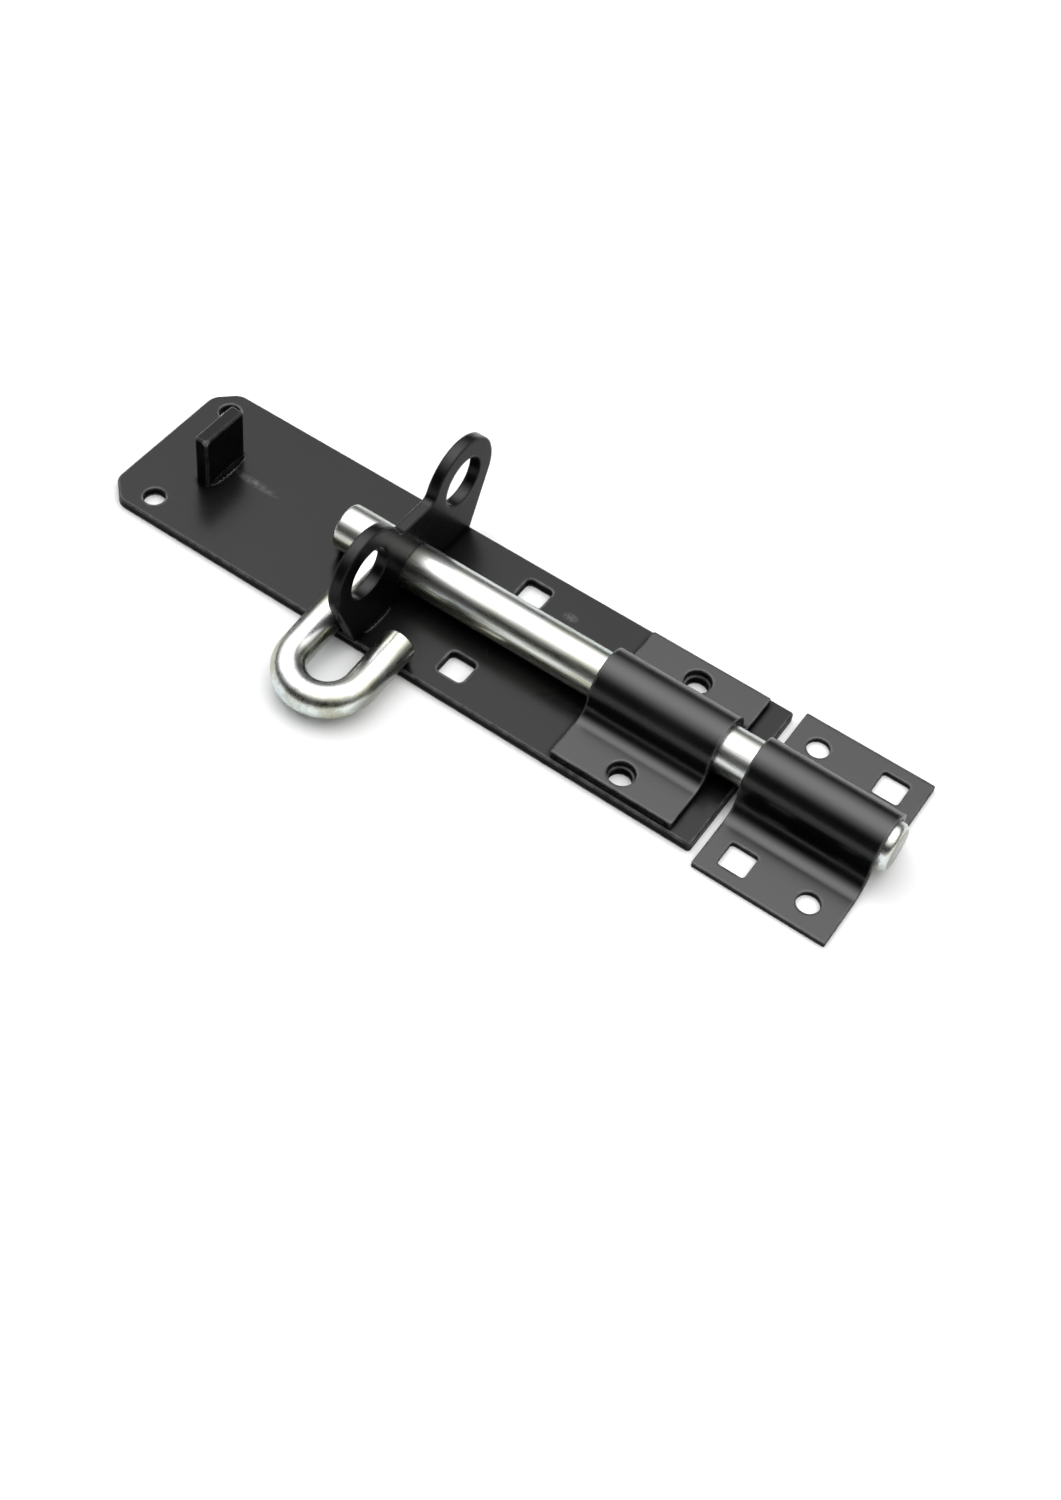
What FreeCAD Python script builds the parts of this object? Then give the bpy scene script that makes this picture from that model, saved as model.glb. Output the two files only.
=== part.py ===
import FreeCAD, Part
import math
import os

# Padbolt: a round bar that slides and turns on a back plate and shoots into a separate keep.
# Sizes are in millimetres. The origin is the centre of the back plate's underside.
# +X is the way the bar shoots, +Z points away from the face that the plates are fixed to.
# The bar is drawn shot, with its handle dropped over the near ear (-Y side) of the staple plate.

V = FreeCAD.Vector
X_AXIS = V(1, 0, 0)

# Back plate
plate_length = 200.0
plate_width = 54.5
plate_thickness = 3.0
rear_corner_cut = 6.0
rear_corner_blend = 5.0
front_corner_radius = 1.0
plate_edge_bevel = 0.4

# Screw holes and square holes for coach bolts, each pair staggered along the plate.
# A place is the distance from the plate's rear end, then the distance across from its centre line.
screw_hole_diameter = 6.6
rear_screw_holes = ((13.3, -20.4), (8.3, 19.4))
square_hole_side = 8.7
square_hole_corner = 1.7
square_holes = ((118.2, -16.9), (120.0, 17.7))

# Bar
bar_diameter = 14.0
bar_clearance = 0.3
bar_tip_chamfer = 2.0
bar_rear_chamfer = 1.0

# Keep, the folded sheet that takes the bar's tip
# The places of its holes are distances from its rear edge, then across from its centre line.
keep_gap = 2.5
keep_length = 39.8
keep_width = 61.0
keep_sheet = 1.6
keep_bend = 6.0
keep_corner_radius = 0.5
keep_square_holes = ((9.3, -22.4), (30.4, 22.4))
keep_screw_holes = ((8.3, 21.9), (30.4, -22.4))
keep_square_side = 8.2
keep_square_corner = 1.0
tip_reach = 2.8
drawn_clearance = 1.2

# Front strap, the folded sheet that guides the bar on the back plate
strap_length = 38.0
strap_front_inset = 7.0
strap_width = 51.8
strap_sheet = 2.0
strap_bend = 4.8
strap_corner_radius = 0.5
strap_holes = (-20.3, 18.5)
strap_hole_diameter = 8.0

# Staple plate, the upright with two padlock ears
staple_front_place = 91.1
staple_thickness = 3.5
ear_radius = 14.0
ear_hole_diameter = 16.0
ear_spacing = 43.0
ear_height = 26.6
saddle_height = 29.6
saddle_blend = 3.0
staple_edge_bevel = 0.35

# Stop tab behind the bar
tab_front_place = 23.1
tab_thickness = 4.4
tab_width = 16.6
tab_height = 18.2
tab_edge_bevel = 0.45

# Handle, a rod bent to a U
rod_diameter = 10.0
rod_end_chamfer = 0.5
leg_gap = 0.5
handle_bend_radius = 10.8
long_leg = 41.3
short_leg = 23.4
handle_to_bar = 0.3
handle_rest_gap = 0.3

# Places worked out from the sizes above
plate_rear = -plate_length / 2
plate_front = plate_length / 2
half_width = plate_width / 2
bar_radius = bar_diameter / 2
rod_radius = rod_diameter / 2
guide_radius = bar_radius + bar_clearance
bar_height = plate_thickness + guide_radius
throw = drawn_clearance + keep_length + tip_reach
bar_front = plate_front + keep_gap + keep_length + tip_reach
tab_front = plate_rear + tab_front_place
bar_rear = tab_front + throw
keep_rear = plate_front + keep_gap
strap_front = plate_front - strap_front_inset
strap_middle = strap_front - strap_length / 2
staple_front = plate_rear + staple_front_place
staple_rear = staple_front - staple_thickness
long_leg_place = staple_rear - leg_gap - rod_radius


def line(a, b):
    return Part.makeLine(a, b)


def arc(a, middle, b):
    return Part.Arc(a, middle, b).toShape()


def slab(points, vector):
    """A flat outline of straight edges, given thickness along the vector."""
    face = Part.Face(Part.makePolygon(points + [points[0]]))
    return face.extrude(vector)


def parallel_edges(shape, direction, places=None, reach=0.01):
    """The straight edges along a direction, or only those that pass near the given points."""
    found = []
    for edge in shape.Edges:
        if edge.Curve.TypeId != "Part::GeomLine":
            continue
        if abs(abs(edge.tangentAt(edge.FirstParameter).dot(direction)) - 1) > 1e-6:
            continue
        if places is None:
            found.append(edge)
            continue
        start = edge.Vertexes[0].Point
        for place in places:
            offset = place.sub(start)
            sideways = offset.sub(V(direction).multiply(offset.dot(direction)))
            if sideways.Length < reach:
                found.append(edge)
                break
    return found


def rim(shape, normal):
    """The outer edges of the largest flat face that looks along the normal."""
    faces = []
    for face in shape.Faces:
        if face.Surface.TypeId == "Part::GeomPlane" and face.normalAt(0, 0).dot(normal) > 0.999:
            faces.append(face)
    largest = max(faces, key=lambda face: face.Area)
    return largest.OuterWire.Edges


def round_hole(x, y, diameter, base, height):
    return Part.makeCylinder(diameter / 2, height + 2, V(x, y, base - 1))


def square_hole(x, y, side, corner, base, height):
    block = Part.makeBox(side, side, height + 2, V(x - side / 2, y - side / 2, base - 1))
    return block.makeFillet(corner, parallel_edges(block, V(0, 0, 1)))


def make_back_plate():
    cut = rear_corner_cut
    outline = [
        V(plate_front, -half_width, 0),
        V(plate_front, half_width, 0),
        V(plate_rear + cut, half_width, 0),
        V(plate_rear, half_width - cut, 0),
        V(plate_rear, -half_width + cut, 0),
        V(plate_rear + cut, -half_width, 0),
    ]
    plate = slab(outline, V(0, 0, plate_thickness))
    front_edges = parallel_edges(plate, V(0, 0, 1), outline[:2])
    plate = plate.makeFillet(front_corner_radius, front_edges)
    rear_edges = parallel_edges(plate, V(0, 0, 1), outline[2:])
    plate = plate.makeFillet(rear_corner_blend, rear_edges)
    plate = plate.makeChamfer(plate_edge_bevel, rim(plate, V(0, 0, 1)))
    for place, y in rear_screw_holes:
        plate = plate.cut(round_hole(plate_rear + place, y, screw_hole_diameter,
                                     0, plate_thickness))
    for y in strap_holes:
        plate = plate.cut(round_hole(strap_middle, y, screw_hole_diameter, 0, plate_thickness))
    for place, y in square_holes:
        plate = plate.cut(square_hole(plate_rear + place, y, square_hole_side,
                                      square_hole_corner, 0, plate_thickness))
    return plate


def hat_section(x, sheet, bend, width, base):
    """The section of a folded strap: flanges, rounded bends and an arch that fits over the bar."""
    inner = guide_radius
    outer = inner + sheet
    foot = outer + bend
    bend_top = base + sheet + bend
    slant = math.sqrt(0.5)

    def at(y, z):
        return V(x, y, z)

    def half_bend(side, radius):
        return at(side * (foot - radius * slant), bend_top - radius * slant)

    edges = [
        line(at(-width / 2, base + sheet), at(-foot, base + sheet)),
        arc(at(-foot, base + sheet), half_bend(-1, bend), at(-outer, bend_top)),
        line(at(-outer, bend_top), at(-outer, bar_height)),
        arc(at(-outer, bar_height), at(0, bar_height + outer), at(outer, bar_height)),
        line(at(outer, bar_height), at(outer, bend_top)),
        arc(at(outer, bend_top), half_bend(1, bend), at(foot, base + sheet)),
        line(at(foot, base + sheet), at(width / 2, base + sheet)),
        line(at(width / 2, base + sheet), at(width / 2, base)),
        line(at(width / 2, base), at(foot, base)),
        arc(at(foot, base), half_bend(1, bend + sheet), at(inner, bend_top)),
        line(at(inner, bend_top), at(inner, bar_height)),
        arc(at(inner, bar_height), at(0, bar_height + inner), at(-inner, bar_height)),
        line(at(-inner, bar_height), at(-inner, bend_top)),
        arc(at(-inner, bend_top), half_bend(-1, bend + sheet), at(-foot, base)),
        line(at(-foot, base), at(-width / 2, base)),
        line(at(-width / 2, base), at(-width / 2, base + sheet)),
    ]
    return Part.Face(Part.Wire(edges))


def fold_strap(rear, length, sheet, bend, width, base, corner_radius):
    strap = hat_section(rear, sheet, bend, width, base).extrude(V(length, 0, 0))
    corners = []
    for x in (rear, rear + length):
        for side in (-1, 1):
            corners.append(V(x, side * width / 2, base))
    return strap.makeFillet(corner_radius, parallel_edges(strap, V(0, 0, 1), corners))


def make_front_strap():
    rear = strap_front - strap_length
    strap = fold_strap(rear, strap_length, strap_sheet, strap_bend, strap_width,
                       plate_thickness, strap_corner_radius)
    for y in strap_holes:
        strap = strap.cut(round_hole(strap_middle, y, strap_hole_diameter,
                                     plate_thickness, strap_sheet))
    return strap


def make_keep():
    keep = fold_strap(keep_rear, keep_length, keep_sheet, keep_bend, keep_width,
                      0, keep_corner_radius)
    for place, y in keep_square_holes:
        keep = keep.cut(square_hole(keep_rear + place, y, keep_square_side, keep_square_corner,
                                    0, keep_sheet))
    for place, y in keep_screw_holes:
        keep = keep.cut(round_hole(keep_rear + place, y, screw_hole_diameter, 0, keep_sheet))
    return keep


def tangent_point(point_y, point_z, centre_y, centre_z, radius):
    """Where the line from a point grazes the outer side of a circle, in the YZ plane."""
    away_y = point_y - centre_y
    away_z = point_z - centre_z
    distance = math.hypot(away_y, away_z)
    turn = math.acos(radius / distance)
    angle = math.atan2(away_z, away_y) + turn
    return centre_y + radius * math.cos(angle), centre_z + radius * math.sin(angle)


def make_staple_plate():
    """An upright welded across the back plate: two ears, a low saddle, and an arch over the bar."""
    x = staple_rear
    foot = plate_thickness
    ear_y = ear_spacing / 2
    side_y, side_z = tangent_point(half_width, foot, ear_y, ear_height, ear_radius)
    blend_z = saddle_height + saddle_blend
    reach = ear_radius + saddle_blend
    blend_y = ear_y - math.sqrt(reach ** 2 - (blend_z - ear_height) ** 2)
    share = ear_radius / reach
    join_y = ear_y + (blend_y - ear_y) * share
    join_z = ear_height + (blend_z - ear_height) * share
    middle = math.atan2((join_z + saddle_height) / 2 - blend_z, (join_y + blend_y) / 2 - blend_y)
    top_angle = math.radians(75)

    def at(y, z):
        return V(x, y, z)

    def half(side):
        """The outline of one side, from the middle of the saddle down to the outer foot."""
        blend_middle = at(side * (blend_y + saddle_blend * math.cos(middle)),
                          blend_z + saddle_blend * math.sin(middle))
        ear_top = at(side * (ear_y + ear_radius * math.cos(top_angle)),
                     ear_height + ear_radius * math.sin(top_angle))
        return [
            line(at(0, saddle_height), at(side * blend_y, saddle_height)),
            arc(at(side * blend_y, saddle_height), blend_middle, at(side * join_y, join_z)),
            arc(at(side * join_y, join_z), ear_top, at(side * side_y, side_z)),
            line(at(side * side_y, side_z), at(side * half_width, foot)),
            line(at(side * half_width, foot), at(side * guide_radius, foot)),
            line(at(side * guide_radius, foot), at(side * guide_radius, bar_height)),
        ]

    arch = arc(at(-guide_radius, bar_height), at(0, bar_height + guide_radius),
               at(guide_radius, bar_height))
    outline = Part.Wire(Part.__sortEdges__(half(1) + half(-1) + [arch]))
    plate = Part.Face(outline).extrude(V(staple_thickness, 0, 0))
    rims = []
    for normal in (V(1, 0, 0), V(-1, 0, 0)):
        for edge in rim(plate, normal):
            middle_point = edge.valueAt((edge.FirstParameter + edge.LastParameter) / 2)
            if abs(middle_point.y) > guide_radius + 0.01 or middle_point.z > saddle_height - 0.01:
                if middle_point.z > foot + 0.01:
                    rims.append(edge)
    plate = plate.makeChamfer(staple_edge_bevel, rims)
    for side in (-1, 1):
        hole = Part.makeCylinder(ear_hole_diameter / 2, staple_thickness + 2,
                                 V(x - 1, side * ear_y, ear_height), X_AXIS)
        plate = plate.cut(hole)
    return plate


def make_stop_tab():
    tab = Part.makeBox(tab_thickness, tab_width, tab_height,
                       V(tab_front - tab_thickness, -tab_width / 2, plate_thickness))
    edges = parallel_edges(tab, V(0, 0, 1)) + rim(tab, V(0, 0, 1))
    return tab.makeChamfer(tab_edge_bevel, edges)


def make_bolt_bar():
    """A round bar with both ends chamfered, made by turning its half outline."""
    profile = [
        V(bar_rear, 0, 0),
        V(bar_rear, bar_radius - bar_rear_chamfer, 0),
        V(bar_rear + bar_rear_chamfer, bar_radius, 0),
        V(bar_front - bar_tip_chamfer, bar_radius, 0),
        V(bar_front, bar_radius - bar_tip_chamfer, 0),
        V(bar_front, 0, 0),
    ]
    face = Part.Face(Part.makePolygon(profile + [profile[0]]))
    bar = face.revolve(V(0, 0, 0), X_AXIS, 360)
    bar.translate(V(0, 0, bar_height))
    return bar


def handle_drop():
    """The angle below level at which the rod comes to rest over the back plate's edge."""
    rise = bar_height - plate_thickness
    reach = math.hypot(half_width, rise)
    rest = rod_radius + handle_rest_gap
    return math.degrees(math.acos(rest / reach) - math.atan2(half_width, rise))


def make_pull_handle():
    """A rod bent to a U that stands off the bar's side and reaches round the staple plate's ear."""
    out = V(0, -1, 0)
    short_leg_place = long_leg_place + 2 * handle_bend_radius
    bend_centre = V(long_leg_place + handle_bend_radius, -long_leg, 0)
    leg = Part.makeCylinder(rod_radius, long_leg, V(long_leg_place, 0, 0), out)
    ring = Part.Wire(Part.makeCircle(rod_radius, V(long_leg_place, -long_leg, 0), out))
    bend = Part.Face(ring).revolve(bend_centre, V(0, 0, 1), 180)
    hook = Part.makeCylinder(rod_radius, long_leg - short_leg,
                             V(short_leg_place, -long_leg, 0), V(0, 1, 0))
    tips = []
    for edge in hook.Edges:
        if edge.Curve.TypeId == "Part::GeomCircle" and abs(edge.Curve.Center.y + short_leg) < 0.01:
            tips.append(edge)
    hook = hook.makeChamfer(rod_end_chamfer, tips)
    saddle = Part.makeCylinder(bar_radius + handle_to_bar, 4 * rod_diameter,
                               V(long_leg_place - 2 * rod_diameter, 0, 0), X_AXIS)
    handle = leg.fuse([bend, hook]).removeSplitter().cut(saddle)
    handle.rotate(V(0, 0, 0), X_AXIS, handle_drop())
    handle.translate(V(0, 0, bar_height))
    return handle


def single_solid(shape):
    return shape.Solids[0] if len(shape.Solids) == 1 else shape


pieces = {
    "back_plate": make_back_plate,
    "stop_tab": make_stop_tab,
    "staple_plate": make_staple_plate,
    "front_strap": make_front_strap,
    "keep": make_keep,
    "bolt_bar": make_bolt_bar,
    "pull_handle": make_pull_handle,
}

os.makedirs("parts", exist_ok=True)
for name, make in pieces.items():
    shape = single_solid(make())
    shape.exportStep("parts/" + name + ".step")
    box = shape.BoundBox
    print(name, "solids", len(shape.Solids), "valid", shape.isValid(), "volume", round(shape.Volume, 1),
          "from", [round(v, 2) for v in (box.XMin, box.YMin, box.ZMin)],
          "to", [round(v, 2) for v in (box.XMax, box.YMax, box.ZMax)])
print("throw with the handle upright", throw, "handle drop", round(handle_drop(), 3))
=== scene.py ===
import math
import random

import bpy
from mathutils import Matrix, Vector


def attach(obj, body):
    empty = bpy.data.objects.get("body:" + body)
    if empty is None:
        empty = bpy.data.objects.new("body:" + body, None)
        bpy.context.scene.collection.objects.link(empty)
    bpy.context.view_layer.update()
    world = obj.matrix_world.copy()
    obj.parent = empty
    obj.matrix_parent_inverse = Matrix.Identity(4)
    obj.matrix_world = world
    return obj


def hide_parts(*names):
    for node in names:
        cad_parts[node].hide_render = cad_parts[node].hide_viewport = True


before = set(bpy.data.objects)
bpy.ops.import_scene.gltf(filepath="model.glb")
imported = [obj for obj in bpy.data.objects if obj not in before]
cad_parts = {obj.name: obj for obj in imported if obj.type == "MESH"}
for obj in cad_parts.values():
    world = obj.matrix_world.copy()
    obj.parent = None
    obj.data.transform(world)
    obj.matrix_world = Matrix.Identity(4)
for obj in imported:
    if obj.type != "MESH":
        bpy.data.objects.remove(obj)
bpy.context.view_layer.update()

MM = 0.001

# Camera of the photograph, in the row frame
CAMERA_PLACE = (0.21283, -0.33258, 0.47247)
CAMERA_TURN_DEG = (41.484, -4.664, 34.589)
CAMERA_LENS_MM = 52.484
CAMERA_SHIFT = (0.0021, -0.1374)
CAMERA_NEAR = 10 * MM

# Light: one broad softbox overhead in a dim room, drawn out along X. Each stop of its glow is the
# angle from the softbox's middle, in degrees, and the strength there.
SOFTBOX_TOWARDS = Vector((-0.05, 0.16, 1.0)).normalized()
SOFTBOX_DRAWN_OUT = Vector((0.45, 1.0, 1.0))
SOFTBOX_GLOW = ((60, 0.01), (54, 0.12), (46, 0.57), (36, 1.25), (27, 1.8), (17, 2.5), (8, 2.8))

# The pale surroundings low down: the height of a direction, from 0 at the horizon to 1 overhead,
# and the strength there. Below the horizon they are as bright as at it.
SURROUND_GLOW = ((0.0, 1.0), (0.03, 0.5), (0.08, 0.12), (0.2, 0.04), (0.4, 0.0))

# Floor: half its size, and how far it lies under the plates, so that the two share no plane
FLOOR_REACH = 20.0
FLOOR_GAP = 0.03 * MM

# Colours, as linear red, green, blue and cover
WHITE = (1.0, 1.0, 1.0, 1.0)
COATING_BLACK = (0.0018, 0.0019, 0.0026, 1.0)
COATING_GREY = (0.0045, 0.0045, 0.0045, 1.0)
RUBBED_GREY = (0.12, 0.12, 0.115, 1.0)
# Edge colours of the coating: partly wear, partly a painted highlight along its edges
EDGE_WEAR_AND_HIGHLIGHT_GREY = (0.1, 0.1, 0.1, 1.0)
EDGE_WEAR_AND_HIGHLIGHT_DARK = (0.02, 0.02, 0.02, 1.0)
PLATE_EDGE_WEAR_AND_HIGHLIGHT_GREY = (0.22, 0.22, 0.22, 1.0)
BARE_STEEL = (0.5, 0.5, 0.46, 1.0)
ZINC = (0.86, 0.86, 0.85, 1.0)
# Tints painted on the rod's low side (ZINC_OLIVE, ZINC_BLUE) and far side (ZINC_BLUE), standing in for
# the colour of its reflections
ZINC_OLIVE = (0.60, 0.62, 0.47, 1.0)
ZINC_BLUE = (0.55, 0.64, 0.64, 1.0)
ZINC_DULL = (0.52, 0.53, 0.49, 1.0)
ZINC_PALE_OLIVE = (0.80, 0.81, 0.66, 1.0)
# Browned zinc: partly stain, partly painted shade on the rod's sides
ZINC_BROWNED = (0.40, 0.40, 0.30, 1.0)
SAWN_END = (0.25, 0.255, 0.23, 1.0)
FLOOR_WHITE = (0.95, 0.95, 0.95, 1.0)

# Coating: gloss of each part, as the level of its reflection
PLATE_GLOSS = 0.37
TAB_GLOSS = 0.2
STAPLE_GLOSS = 0.4
SHEET_GLOSS = 0.84
WELD_GLOSS = 0.06

# Coating: how far it looks for creases, seams and edges, the openness, from 0 to 1, over which each
# takes effect, and the share of gloss left deep in a crease and on an upright side. Cutting the gloss
# in creases, in seams and on upright sides paints shade into the coating.
CREASE_REACH = 12 * MM
SEAM_REACH = 2.4 * MM
EDGE_REACH = 0.8 * MM
CREASE_OPENNESS = (0.25, 0.58)
SEAM_OPENNESS = (0.6, 0.85)
EDGE_OPENNESS = (0.6, 0.95)
CREASE_SHARE = 0.1
SIDE_SHARE = 0.12
COATING_ROUGHNESS = (0.23, 0.3)
SOFT_EDGE = 1.1 * MM
SMOOTH_BELOW_DEG = 25.0

# Noise: how many waves a metre, and how far it is squeezed along X, Y and Z
EVEN = (1, 1, 1)
DRIFT_WAVES = 40.0
GRAIN_WAVES = 2600.0
WEAR_WAVES = 300.0
STREAK_WAVES = 30.0
MOTTLE_WAVES = 110.0
PALE_OLIVE_WAVES = 45.0
BROWNED_WAVES = 16.0
BAR_SQUEEZE = (1, 12, 12)
HANDLE_SQUEEZE = (10, 3, 10)

# Relief of the grain in the coating and of the mottle in the zinc
RELIEF_DEPTH = 0.05 * MM
GRAIN_RELIEF = 0.06
MOTTLE_RELIEF = 0.12
ZINC_ROUGHNESS = (0.24, 0.36)

# Turned bar
BAR_SEGMENTS = 96
BAR_STEPS = 60
CORNER_STEPS = 8
REAR_ROUND = 1.0 * MM
TIP_ROUND = 2.2 * MM

# Weld beads: how far they stay inside the tab's sides, and where the staple plate's starts and ends
WELD_STEP = 0.25 * MM
WELD_SEGMENTS = 12
WELD_LUMP = 0.35
TAB_WELD_RADIUS = 1.1 * MM
TAB_WELD_NEAR_INSET = 2.0 * MM
TAB_WELD_FAR_INSET = 0.5 * MM
TAB_WELD_SEED = 3
STAPLE_WELD_RADIUS = 0.65 * MM
STAPLE_WELD_START = -12.0 * MM
STAPLE_WELD_END = -22.5 * MM
STAPLE_WELD_SEED = 7

# Marks on the coating: middle, half size, turn about Z, and waves a metre of the noise in them
RUB_MIDDLE = (-67.0 * MM, 1.7 * MM, 3.0 * MM)
RUB_HALF_SIZE = (9.5 * MM, 1.7 * MM, 1.0 * MM)
RUB_TURN = math.radians(-2)
RUB_WAVES = 500.0
NICKS_MIDDLE = (33.0 * MM, 17.0 * MM, 3.0 * MM)
NICKS_HALF_SIZE = (3.0 * MM, 1.8 * MM, 1.0 * MM)
NICKS_WAVES = 1500.0
BARE_HALF_SIZE = (1.9 * MM, 1.9 * MM, 1.9 * MM)
BARE_WAVES = 900.0


def join(tree, value, socket):
    """Link a socket to a value that comes from another node, or set a plain value on it."""
    if isinstance(value, bpy.types.NodeSocket):
        tree.links.new(value, socket)
    else:
        socket.default_value = value


def operate(tree, kind, operation, *values):
    """The outputs of a Math or Vector Math node that works on the given values."""
    node = tree.nodes.new(kind)
    node.operation = operation
    for value, socket in zip(values, node.inputs):
        join(tree, value, socket)
    return node.outputs


class Nodes:
    """A short way to add nodes to a material and join them."""

    def __init__(self, name):
        self.material = bpy.data.materials.new(name)
        self.material.use_nodes = True
        self.tree = self.material.node_tree
        self.tree.nodes.clear()

    def add(self, kind, settings=None, **inputs):
        node = self.tree.nodes.new(kind)
        for key, value in (settings or {}).items():
            setattr(node, key, value)
        for key, value in inputs.items():
            join(self.tree, value, node.inputs[key.replace("_", " ")])
        return node

    def finish(self, shader):
        output = self.tree.nodes.new("ShaderNodeOutputMaterial")
        self.tree.links.new(shader, output.inputs["Surface"])
        return self.material

    def facing(self):
        """The surface's direction in the object's own frame, as X, Y and Z outputs."""
        normal = self.add("ShaderNodeTexCoord").outputs["Normal"]
        return self.add("ShaderNodeSeparateXYZ", Vector=normal).outputs

    def noise(self, squeeze, waves, detail=3.0):
        place = self.add("ShaderNodeTexCoord").outputs["Object"]
        squeezed = self.add("ShaderNodeMapping", Vector=place, Scale=squeeze).outputs["Vector"]
        return self.add("ShaderNodeTexNoise", Vector=squeezed, Scale=waves,
                        Detail=detail).outputs["Fac"]

    def openness(self, reach, samples, inside=False):
        """How open it is around the surface within a reach, from 0 to 1, or inside the solid."""
        node = self.add("ShaderNodeAmbientOcclusion", {"samples": samples, "inside": inside},
                        Distance=reach)
        return node.outputs["AO"]

    def ramp(self, factor, low, high, from_colour, to_colour):
        node = self.add("ShaderNodeValToRGB", Fac=factor)
        stops = zip(node.color_ramp.elements, (low, high), (from_colour, to_colour))
        for element, position, colour in stops:
            element.position = position
            element.color = colour
        return node.outputs["Color"]

    def blend(self, factor, under, over):
        """One colour over another. A Mix node's colour sockets are told apart by number only."""
        node = self.add("ShaderNodeMix", {"data_type": "RGBA"})
        for number, value in ((0, factor), (6, under), (7, over)):
            join(self.tree, value, node.inputs[number])
        return node.outputs[2]

    def patch(self, middle, half_size, turn, waves):
        """A soft oval mark on the surface, broken up by a noise."""
        place = self.add("ShaderNodeTexCoord").outputs["Object"]
        local = self.add("ShaderNodeMapping", {"vector_type": "TEXTURE"}, Vector=place,
                         Location=middle, Rotation=(0, 0, turn), Scale=half_size)
        oval = self.add("ShaderNodeTexGradient", {"gradient_type": "SPHERICAL"},
                        Vector=local.outputs["Vector"]).outputs["Fac"]
        broken = self.span(self.noise(EVEN, waves, 4.0), 0.35, 0.6, 0.0, 1.0)
        return self.times(oval, broken)

    def times(self, first, second):
        return operate(self.tree, "ShaderNodeMath", "MULTIPLY", first, second)["Value"]

    def span(self, value, low, high, to_low, to_high):
        """The value carried over from one range to another, and held at its ends."""
        return self.add("ShaderNodeMapRange", Value=value, From_Min=low, From_Max=high,
                        To_Min=to_low, To_Max=to_high).outputs["Result"]


def black_coating(name, gloss, edge_wear_and_highlight_colour, marks=(), mark_colour=RUBBED_GREY):
    """Semi-gloss black coating with rubbed marks. Its edges are lightened, partly as wear and partly as
    a painted highlight, and its gloss is cut on upright sides and in creases and seams, a painted shade.
    """
    n = Nodes(name)
    drift = n.noise(EVEN, DRIFT_WAVES)
    grain = n.noise(EVEN, GRAIN_WAVES, 2.0)
    colour = n.ramp(drift, 0.35, 0.7, COATING_BLACK, COATING_GREY)
    for middle, half_size, turn, waves in marks:
        colour = n.blend(n.patch(middle, half_size, turn, waves), colour, mark_colour)
    # Edges lighten towards the edge colour: partly wear, partly a painted highlight along them
    near_edge = n.span(n.openness(EDGE_REACH, 4, inside=True), *EDGE_OPENNESS, 1.0, 0.0)
    worn_and_highlit = n.times(near_edge, n.span(n.noise(EVEN, WEAR_WAVES), 0.35, 0.6, 0.3, 1.0))
    colour = n.blend(worn_and_highlit, colour, edge_wear_and_highlight_colour)
    roughness = n.span(drift, 0.3, 0.7, *COATING_ROUGHNESS)
    # Gloss cut in creases, in seams and on upright sides: painted shade in the coating's reflection
    crease_painted_shade = n.span(n.openness(CREASE_REACH, 8), *CREASE_OPENNESS, CREASE_SHARE, 1.0)
    seam_painted_shade = n.span(n.openness(SEAM_REACH, 6), *SEAM_OPENNESS, 0.0, 1.0)
    side_painted_shade = n.span(n.facing()["Z"], 0.1, 0.95, SIDE_SHARE * gloss, gloss)
    gloss_with_painted_shade = n.times(n.times(crease_painted_shade, seam_painted_shade), side_painted_shade)
    soft_edge = n.add("ShaderNodeBevel", {"samples": 6}, Radius=SOFT_EDGE).outputs["Normal"]
    relief = n.add("ShaderNodeBump", Strength=GRAIN_RELIEF, Distance=RELIEF_DEPTH, Height=grain,
                   Normal=soft_edge)
    shader = n.add("ShaderNodeBsdfPrincipled", Base_Color=colour, Roughness=roughness,
                   Specular_IOR_Level=gloss_with_painted_shade, Normal=relief.outputs["Normal"])
    return n.finish(shader.outputs["BSDF"])


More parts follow.
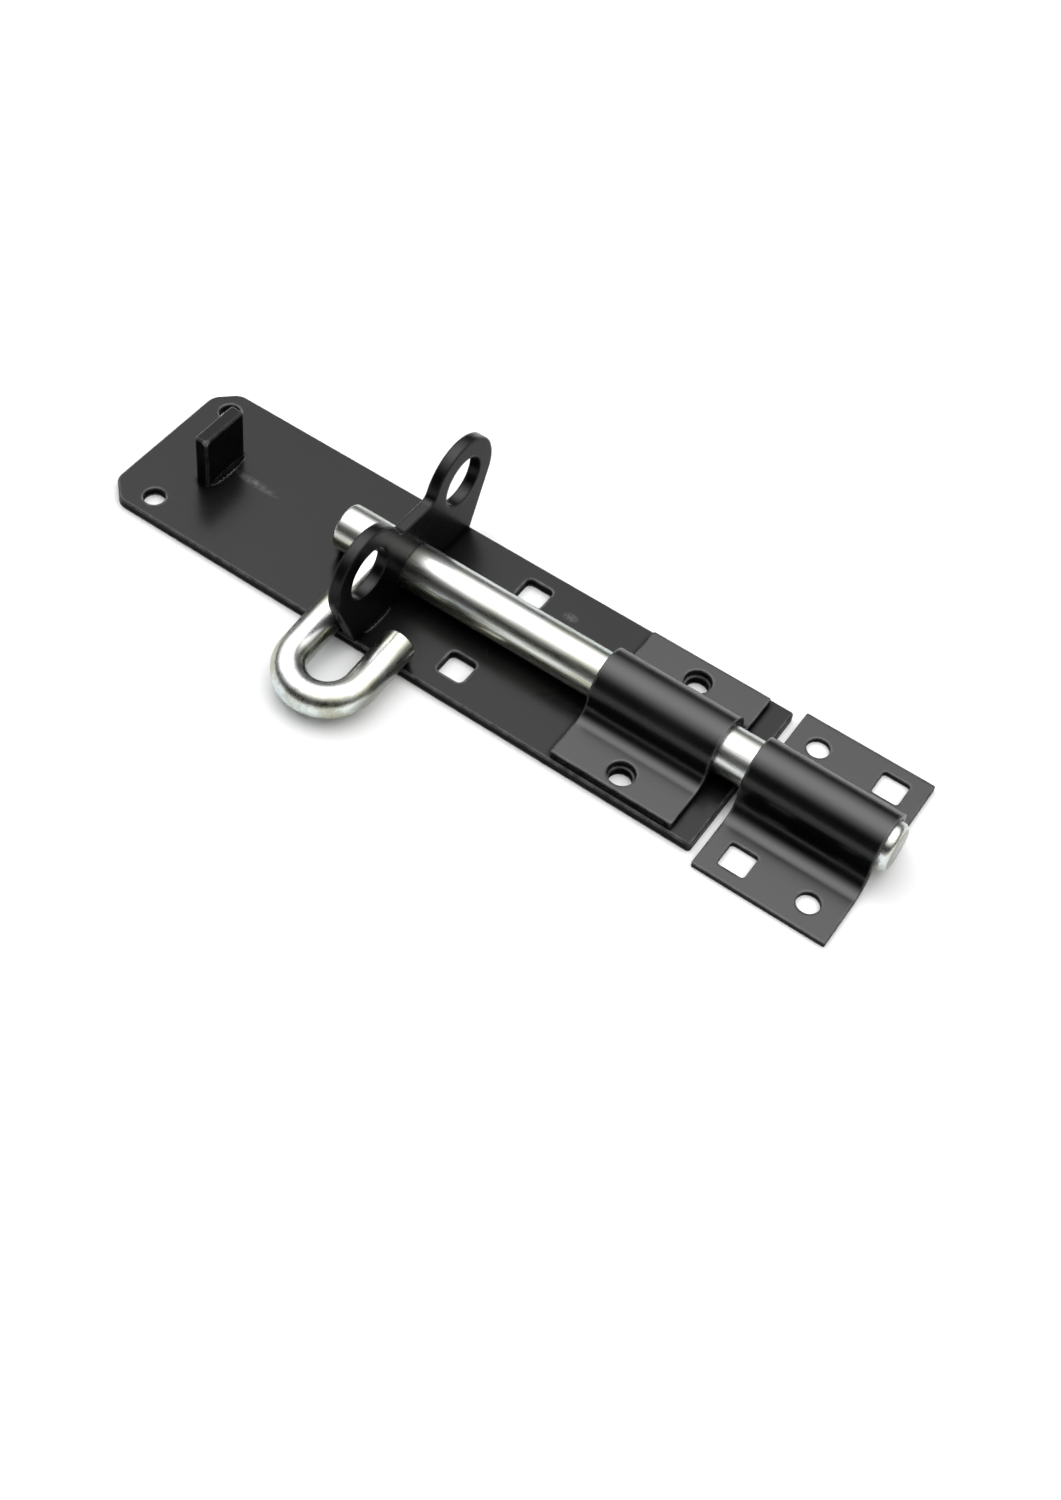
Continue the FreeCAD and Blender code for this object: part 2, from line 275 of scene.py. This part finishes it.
def bright_zinc(name, squeeze, painted_low_tint):
    """Bright zinc on drawn rod, with a painted reflection tint on its low side and a painted blue-grey
    reflection tint on its far side, and browned patches held off its top, partly stain and partly
    painted shade on its sides.
    """
    n = Nodes(name)
    facing = n.facing()
    streak = n.noise(squeeze, STREAK_WAVES, 4.0)
    mottle = n.noise(squeeze, MOTTLE_WAVES, 4.0)
    streaked = n.span(streak, 0.3, 0.6, 0.35, 1.0)
    # The low side's tint is a painted reflection colour
    low_side_painted_tint = n.times(n.span(facing["Z"], 0.85, 0.2, 0.0, 1.0), streaked)
    # The far side's blue-grey is a painted reflection colour
    far_side_painted_tint = n.times(n.span(facing["Y"], 0.15, 0.6, 0.0, 1.0), streaked)
    # Browned patches held off the top: partly stain, partly painted shade on the rod's sides
    shoulder = n.span(facing["Z"], 0.97, 0.75, 0.1, 0.9)
    stain_and_painted_shade = n.span(n.noise(squeeze, BROWNED_WAVES, 6.0), 0.44, 0.6, 0.0, 1.0)
    drift = n.span(n.noise(EVEN, PALE_OLIVE_WAVES), 0.5, 0.65, 0.0, 1.0)
    top = n.blend(drift, ZINC, ZINC_PALE_OLIVE)
    low = n.blend(n.span(streak, 0.45, 0.55, 0.0, 1.0), ZINC_BLUE, painted_low_tint)
    colour = n.blend(low_side_painted_tint, top, low)
    colour = n.blend(n.times(shoulder, stain_and_painted_shade), colour, ZINC_BROWNED)
    # Painted blue-grey reflection tint on the far side
    colour = n.blend(far_side_painted_tint, colour, ZINC_BLUE)
    colour = n.blend(n.span(mottle, 0.45, 0.7, 0.0, 0.65), colour, ZINC_DULL)
    colour = n.blend(n.span(facing["X"], 0.8, 0.95, 0.0, 1.0), colour, SAWN_END)
    roughness = n.span(mottle, 0.3, 0.75, *ZINC_ROUGHNESS)
    relief = n.add("ShaderNodeBump", Strength=MOTTLE_RELIEF, Distance=RELIEF_DEPTH, Height=mottle)
    shader = n.add("ShaderNodeBsdfPrincipled", Base_Color=colour, Metallic=1.0,
                   Roughness=roughness, Normal=relief.outputs["Normal"])
    return n.finish(shader.outputs["BSDF"])


def white_floor():
    n = Nodes("white_floor")
    paint = n.add("ShaderNodeBsdfDiffuse", Color=FLOOR_WHITE)
    return n.finish(paint.outputs["BSDF"])


def smooth_group():
    """Geometry nodes that shade smooth across every edge flatter than SMOOTH_BELOW_DEG."""
    group = bpy.data.node_groups.new("smooth_shading", "GeometryNodeTree")
    for direction in ("INPUT", "OUTPUT"):
        group.interface.new_socket("Geometry", in_out=direction, socket_type="NodeSocketGeometry")
    start = group.nodes.new("NodeGroupInput")
    end = group.nodes.new("NodeGroupOutput")
    angle = group.nodes.new("GeometryNodeInputMeshEdgeAngle")
    flat = group.nodes.new("FunctionNodeCompare")
    flat.operation = "LESS_THAN"
    flat.inputs["B"].default_value = math.radians(SMOOTH_BELOW_DEG)
    faces = group.nodes.new("GeometryNodeSetShadeSmooth")
    edges = group.nodes.new("GeometryNodeSetShadeSmooth")
    edges.domain = "EDGE"
    group.links.new(angle.outputs["Unsigned Angle"], flat.inputs["A"])
    group.links.new(start.outputs["Geometry"], faces.inputs["Geometry"])
    group.links.new(faces.outputs["Geometry"], edges.inputs["Geometry"])
    group.links.new(flat.outputs["Result"], edges.inputs["Shade Smooth"])
    group.links.new(edges.outputs["Geometry"], end.inputs["Geometry"])
    return group


def shade_smooth(node, group):
    node.modifiers.new("smooth_shading", "NODES").node_group = group
    weighted = node.modifiers.new("weighted_normal", "WEIGHTED_NORMAL")
    weighted.keep_sharp = True


def corners_of(name):
    """The lowest and highest corners of a node, in the row frame."""
    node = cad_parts[name]
    places = [node.matrix_world @ Vector(corner) for corner in node.bound_box]
    low = Vector([min(place[axis] for place in places) for axis in range(3)])
    high = Vector([max(place[axis] for place in places) for axis in range(3)])
    return low, high


def add_mesh(name, points, faces, material):
    mesh = bpy.data.meshes.new(name)
    mesh.from_pydata(points, [], faces)
    mesh.materials.append(material)
    piece = bpy.data.objects.new(name, mesh)
    bpy.context.scene.collection.objects.link(piece)
    return piece


def add_smooth_piece(name, points, faces, material):
    piece = add_mesh(name, points, faces, material)
    for face in piece.data.polygons:
        face.use_smooth = True
    return piece


def ring_faces(rings, segments):
    """Side faces between rings of points, with a fan at each end around its middle point."""
    faces = []
    for ring in range(rings - 1):
        for step in range(segments):
            after = (step + 1) % segments
            faces.append((ring * segments + step, ring * segments + after,
                          (ring + 1) * segments + after, (ring + 1) * segments + step))
    last = (rings - 1) * segments
    first_middle = rings * segments
    for step in range(segments):
        after = (step + 1) % segments
        faces.append((after, step, first_middle))
        faces.append((last + step, last + after, first_middle + 1))
    return faces


def rounded_corner(middle_x, middle_r, radius, from_deg, to_deg):
    """Points on a quarter round of a turned profile, as places along the axis and radii."""
    points = []
    for step in range(CORNER_STEPS + 1):
        angle = math.radians(from_deg + (to_deg - from_deg) * step / CORNER_STEPS)
        points.append((middle_x + radius * math.cos(angle), middle_r + radius * math.sin(angle)))
    return points


def add_bar(material):
    """The round bar, turned with rounded ends, in place of the faceted one."""
    low, high = corners_of("bolt_bar")
    radius = (high.z - low.z) / 2
    height = (high.z + low.z) / 2
    profile = rounded_corner(low.x + REAR_ROUND, radius - REAR_ROUND, REAR_ROUND, 180, 90)
    straight = high.x - low.x - REAR_ROUND - TIP_ROUND
    for step in range(1, BAR_STEPS):
        profile.append((low.x + REAR_ROUND + straight * step / BAR_STEPS, radius))
    profile += rounded_corner(high.x - TIP_ROUND, radius - TIP_ROUND, TIP_ROUND, 90, 0)
    points = []
    for along, reach in profile:
        for step in range(BAR_SEGMENTS):
            angle = math.tau * step / BAR_SEGMENTS
            points.append((along, reach * math.cos(angle), height + reach * math.sin(angle)))
    points += [(low.x, 0, height), (high.x, 0, height)]
    bar = add_smooth_piece("bolt_bar_smooth", points, ring_faces(len(profile), BAR_SEGMENTS),
                           material)
    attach(bar, "bolt")
    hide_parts("bolt_bar")


def add_weld(name, start, end, radius, seed, material):
    """A lumpy bead of weld along a foot, with its middle line in the corner that it fills."""
    draw = random.Random(seed)
    steps = int((end - start).length / WELD_STEP)
    sideways = (end - start).normalized().cross(Vector((0, 0, 1)))
    lumps = [(draw.uniform(0.7, 1.3), draw.uniform(0, math.tau)) for wave in range(3)]
    points = []
    for step in range(steps + 1):
        share = step / steps
        middle = start.lerp(end, share)
        swell = sum(math.sin(step * pace + phase) for pace, phase in lumps) / len(lumps)
        taper = math.sin(math.pi * min(max(share, 0.04), 0.96)) ** 0.35
        reach = radius * taper * (1 + WELD_LUMP * swell)
        for turn in range(WELD_SEGMENTS):
            angle = math.tau * turn / WELD_SEGMENTS
            points.append(middle + sideways * reach * math.cos(angle)
                          + Vector((0, 0, reach * math.sin(angle))))
    points += [start, end]
    bead = add_smooth_piece(name, points, ring_faces(steps + 1, WELD_SEGMENTS), material)
    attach(bead, "fixed")


def add_welds(material):
    """Beads at the foot of the stop tab and at the near foot of the staple plate."""
    plate_top = corners_of("back_plate")[1].z
    tab_low, tab_high = corners_of("stop_tab")
    add_weld("tab_weld", Vector((tab_high.x, tab_low.y + TAB_WELD_NEAR_INSET, plate_top)),
             Vector((tab_high.x, tab_high.y - TAB_WELD_FAR_INSET, plate_top)),
             TAB_WELD_RADIUS, TAB_WELD_SEED, material)
    staple_front = corners_of("staple_plate")[1].x
    add_weld("staple_weld", Vector((staple_front, STAPLE_WELD_START, plate_top)),
             Vector((staple_front, STAPLE_WELD_END, plate_top)),
             STAPLE_WELD_RADIUS, STAPLE_WELD_SEED, material)


def dress(material, *node_names):
    for name in node_names:
        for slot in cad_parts[name].material_slots:
            slot.material = material


def dress_solids():
    """A material on every piece that came from the solids, apart from the bar, which is replaced."""
    plate_marks = [(RUB_MIDDLE, RUB_HALF_SIZE, RUB_TURN, RUB_WAVES),
                   (NICKS_MIDDLE, NICKS_HALF_SIZE, 0.0, NICKS_WAVES)]
    tab_low, tab_high = corners_of("stop_tab")
    bare_corner = (tab_high.x, tab_low.y, tab_high.z)
    tab_marks = [(bare_corner, BARE_HALF_SIZE, 0.0, BARE_WAVES)]
    dress(black_coating("black_coating_marked", PLATE_GLOSS, PLATE_EDGE_WEAR_AND_HIGHLIGHT_GREY, plate_marks),
          "back_plate")
    dress(black_coating("black_coating_tab", TAB_GLOSS, EDGE_WEAR_AND_HIGHLIGHT_GREY, tab_marks, BARE_STEEL),
          "stop_tab")
    dress(black_coating("black_coating", STAPLE_GLOSS, EDGE_WEAR_AND_HIGHLIGHT_DARK), "staple_plate")
    dress(black_coating("black_sheet_coating", SHEET_GLOSS, EDGE_WEAR_AND_HIGHLIGHT_GREY), "front_strap", "keep")
    dress(bright_zinc("bright_zinc_handle", HANDLE_SQUEEZE, ZINC_BLUE), "pull_handle")


def add_floor():
    """A floor larger than any view shows, a hair below the plates' undersides."""
    corners = [(x * FLOOR_REACH, y * FLOOR_REACH, -FLOOR_GAP)
               for x, y in ((-1, -1), (1, -1), (1, 1), (-1, 1))]
    add_mesh("floor", corners, [(0, 1, 2, 3)], white_floor())


def add_camera():
    data = bpy.data.cameras.new("camera")
    data.lens = CAMERA_LENS_MM
    data.shift_x, data.shift_y = CAMERA_SHIFT
    data.clip_start = CAMERA_NEAR
    camera = bpy.data.objects.new("camera", data)
    camera.location = CAMERA_PLACE
    camera.rotation_euler = [math.radians(angle) for angle in CAMERA_TURN_DEG]
    bpy.context.scene.collection.objects.link(camera)
    bpy.context.scene.camera = camera


def add_glow(tree, factor, stops, interpolation):
    """A strength that follows the factor through stops given as (factor, strength)."""
    peak = max(strength for place, strength in stops)
    glow = tree.nodes.new("ShaderNodeValToRGB")
    glow.color_ramp.interpolation = interpolation
    elements = glow.color_ramp.elements
    while len(elements) < len(stops):
        elements.new(0.5)
    for element, (place, strength) in zip(elements, stops):
        element.position = place
        element.color = [strength / peak] * 3 + [1]
    join(tree, factor, glow.inputs["Fac"])
    return operate(tree, "ShaderNodeMath", "MULTIPLY", glow.outputs["Color"], peak)["Value"]


def light_room():
    """The softbox's glow by direction, in a dim room with pale surroundings low down."""
    world = bpy.data.worlds.new("room")
    world.use_nodes = True
    tree = world.node_tree
    direction = tree.nodes.new("ShaderNodeTexCoord").outputs["Generated"]
    drawn_out = operate(tree, "ShaderNodeVectorMath", "MULTIPLY", direction, SOFTBOX_DRAWN_OUT)
    unit = operate(tree, "ShaderNodeVectorMath", "NORMALIZE", drawn_out["Vector"])
    closeness = operate(tree, "ShaderNodeVectorMath", "DOT_PRODUCT", unit["Vector"], SOFTBOX_TOWARDS)
    stops = [(math.cos(math.radians(angle)), strength) for angle, strength in SOFTBOX_GLOW]
    softbox = add_glow(tree, closeness["Value"], stops, "CARDINAL")
    height = tree.nodes.new("ShaderNodeSeparateXYZ")
    join(tree, direction, height.inputs["Vector"])
    surround = add_glow(tree, height.outputs["Z"], SURROUND_GLOW, "LINEAR")
    strength = operate(tree, "ShaderNodeMath", "ADD", softbox, surround)["Value"]
    background = tree.nodes["Background"]
    background.inputs["Color"].default_value = WHITE
    join(tree, strength, background.inputs["Strength"])
    bpy.context.scene.world = world


dress_solids()
add_bar(bright_zinc("bright_zinc_bar", BAR_SQUEEZE, ZINC_OLIVE))
add_welds(black_coating("black_coating_weld", WELD_GLOSS, COATING_GREY))
smooth = smooth_group()
for name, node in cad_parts.items():
    if name != "bolt_bar":
        shade_smooth(node, smooth)
add_floor()
add_camera()
light_room()
bpy.context.scene.view_settings.view_transform = "Standard"
